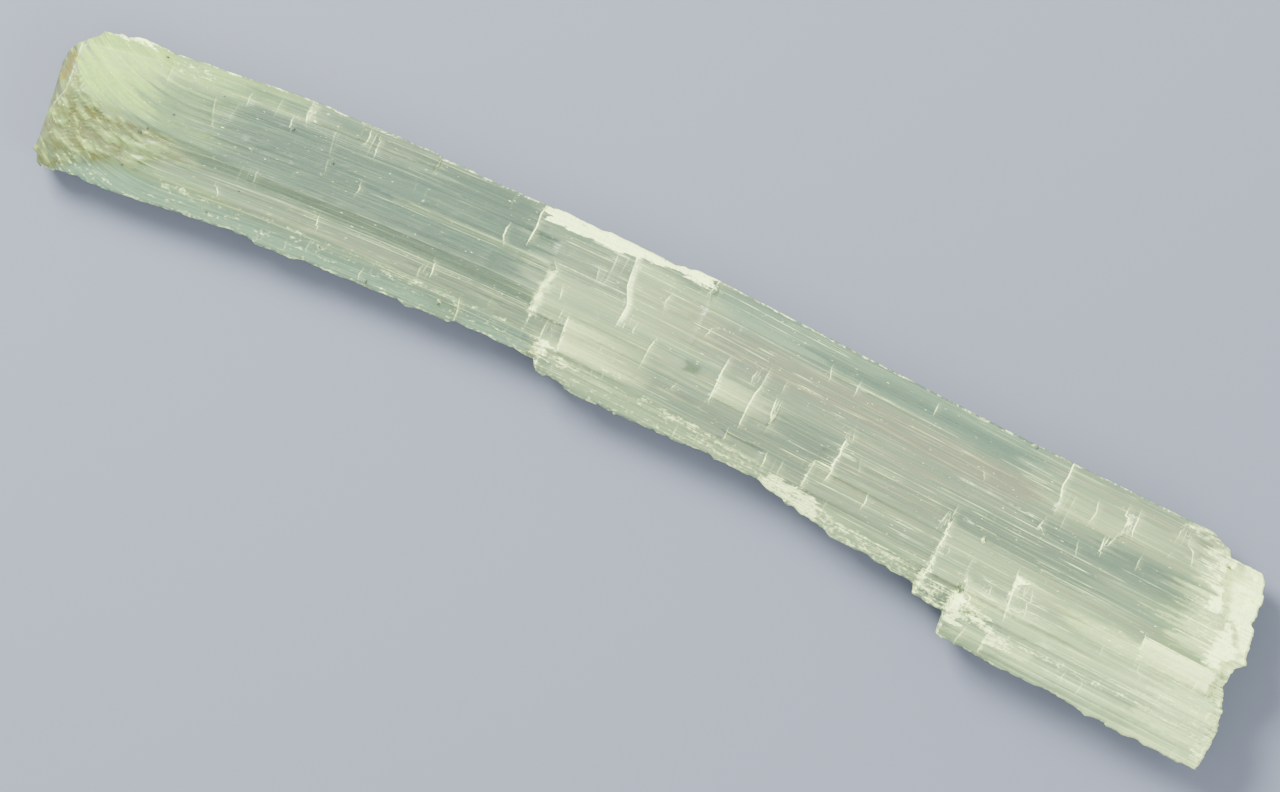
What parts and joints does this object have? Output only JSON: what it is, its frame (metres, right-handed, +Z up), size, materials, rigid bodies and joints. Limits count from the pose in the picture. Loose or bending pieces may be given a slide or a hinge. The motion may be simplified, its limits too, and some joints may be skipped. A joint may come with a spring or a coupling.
{
  "type": "selenite crystal blade",
  "caption": "Long, gently curved lath of milky, fibrous gypsum crystal with flat cleavage faces, stepped ledges and broken, splintered ends, lying on its flat side.",
  "frame": {"origin": "under the middle of the bounding box, on the surface that the blade lies on", "axes": "+X along the fibres from the narrow, stained end to the wide, splintered end; +Y across them, towards the straighter long edge; +Z up, out of the main cleavage face"},
  "size_m": [0.2004, 0.0334, 0.0126],
  "materials": {
    "selenite": "silky, milky gypsum; frosted white along broken edges, brown stain on one end"
  },
  "bodies": {
    "root": {"selenite_blade": "selenite"}
  },
  "joints": []
}
